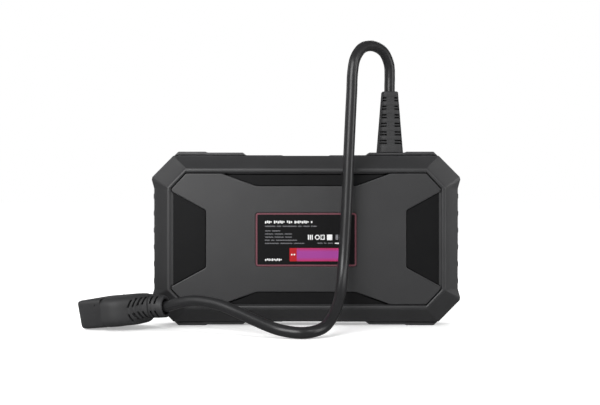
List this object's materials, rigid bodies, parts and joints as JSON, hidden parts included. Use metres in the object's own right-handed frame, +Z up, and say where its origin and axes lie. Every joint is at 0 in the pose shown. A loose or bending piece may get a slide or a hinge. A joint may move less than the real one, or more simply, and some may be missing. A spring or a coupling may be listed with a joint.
{
  "type": "obd code reader",
  "caption": "Handheld vehicle diagnostic code reader in a rubber bumper, standing on its long edge, with screen and keys, and a short lead ending in a diagnostic plug.",
  "frame": {"origin": "on the standing surface, under the middle of the reader's case", "axes": "+X along the long edge, to the right as seen from behind; +Y out of the screen side; +Z up, towards the lead's exit"},
  "size_m": [0.2433, 0.095, 0.1842],
  "materials": {
    "rubber": "soft matt moulded rubber, fine grain",
    "cover_plastic": "fine spark-eroded ABS",
    "insert_plastic": "smooth moulded black, low sheen",
    "label_film": "printed polyester film, satin",
    "lens_glass": "polished cover glass with a black printed border",
    "display_glass": "dark panel behind the glass",
    "gasket_foam": "black closed-cell foam",
    "key_rubber": "matt silicone rubber",
    "silicone": "grey translucent silicone",
    "board_laminate": "green solder mask",
    "tinned_steel": "tinned sheet",
    "screw_steel": "zinc-plated steel",
    "connector_nylon": "natural nylon",
    "ferrite": "sintered ferrite, matt",
    "cord_jacket": "extruded PVC jacket, satin",
    "plug_mould": "moulded soft PVC, matt",
    "shroud_plastic": "moulded nylon, fine grain",
    "pin_brass": "plated brass"
  },
  "bodies": {
    "reader": {"bumper_boot": "rubber", "rear_cover": "cover_plastic", "front_cover": "cover_plastic", "rear_insert_left": "insert_plastic", "rear_insert_right": "insert_plastic", "rear_insert_top": "insert_plastic", "rear_insert_bottom": "insert_plastic", "rating_label": "label_film", "screen_lens": "lens_glass", "lens_gasket": "gasket_foam", "display_panel": "display_glass", "keypad_mat_arrows": "silicone", "keypad_mat_side": "silicone", "main_board": "board_laminate", "processor_shield": "tinned_steel", "buzzer": "connector_nylon", "board_header": "connector_nylon", "power_coil": "ferrite", "strain_relief": "plug_mould", "cord": "cord_jacket", "inner_lead": "cord_jacket", "plug_shroud": "shroud_plastic", "pin_carrier": "shroud_plastic", "plug_grip": "plug_mould", "plug_strain_relief": "plug_mould", "case_screw_1": "screw_steel", "case_screw_2": "screw_steel", "case_screw_3": "screw_steel", "case_screw_4": "screw_steel", "case_screw_5": "screw_steel", "case_screw_6": "screw_steel", "board_screw_1": "screw_steel", "board_screw_2": "screw_steel", "board_screw_3": "screw_steel", "board_screw_4": "screw_steel", "plug_pin_1": "pin_brass", "plug_pin_2": "pin_brass", "plug_pin_3": "pin_brass", "plug_pin_4": "pin_brass", "plug_pin_5": "pin_brass", "plug_pin_6": "pin_brass", "plug_pin_7": "pin_brass", "plug_pin_8": "pin_brass", "plug_pin_9": "pin_brass"},
    "key_up_cap": {"key_up": "key_rubber"},
    "key_down_cap": {"key_down": "key_rubber"},
    "key_left_cap": {"key_left": "key_rubber"},
    "key_right_cap": {"key_right": "key_rubber"},
    "key_ok_cap": {"key_ok": "key_rubber"},
    "key_power_cap": {"key_power": "key_rubber"},
    "key_menu_cap": {"key_menu": "key_rubber"},
    "key_back_cap": {"key_back": "key_rubber"}
  },
  "joints": [
    {"name": "key_up_press", "type": "slide", "parent": "reader", "child": "key_up_cap", "axis": [0, -1, 0], "range_m": [0, 0.0007], "stiffness_N_per_m": 1500, "springref_m": -0.0004},
    {"name": "key_down_press", "type": "slide", "parent": "reader", "child": "key_down_cap", "axis": [0, -1, 0], "range_m": [0, 0.0007], "stiffness_N_per_m": 1500, "springref_m": -0.0004},
    {"name": "key_left_press", "type": "slide", "parent": "reader", "child": "key_left_cap", "axis": [0, -1, 0], "range_m": [0, 0.0007], "stiffness_N_per_m": 1500, "springref_m": -0.0004},
    {"name": "key_right_press", "type": "slide", "parent": "reader", "child": "key_right_cap", "axis": [0, -1, 0], "range_m": [0, 0.0007], "stiffness_N_per_m": 1500, "springref_m": -0.0004},
    {"name": "key_ok_press", "type": "slide", "parent": "reader", "child": "key_ok_cap", "axis": [0, -1, 0], "range_m": [0, 0.0007], "stiffness_N_per_m": 1500, "springref_m": -0.0004},
    {"name": "key_power_press", "type": "slide", "parent": "reader", "child": "key_power_cap", "axis": [0, -1, 0], "range_m": [0, 0.0007], "stiffness_N_per_m": 1500, "springref_m": -0.0004},
    {"name": "key_menu_press", "type": "slide", "parent": "reader", "child": "key_menu_cap", "axis": [0, -1, 0], "range_m": [0, 0.0007], "stiffness_N_per_m": 1500, "springref_m": -0.0004},
    {"name": "key_back_press", "type": "slide", "parent": "reader", "child": "key_back_cap", "axis": [0, -1, 0], "range_m": [0, 0.0007], "stiffness_N_per_m": 1500, "springref_m": -0.0004}
  ]
}
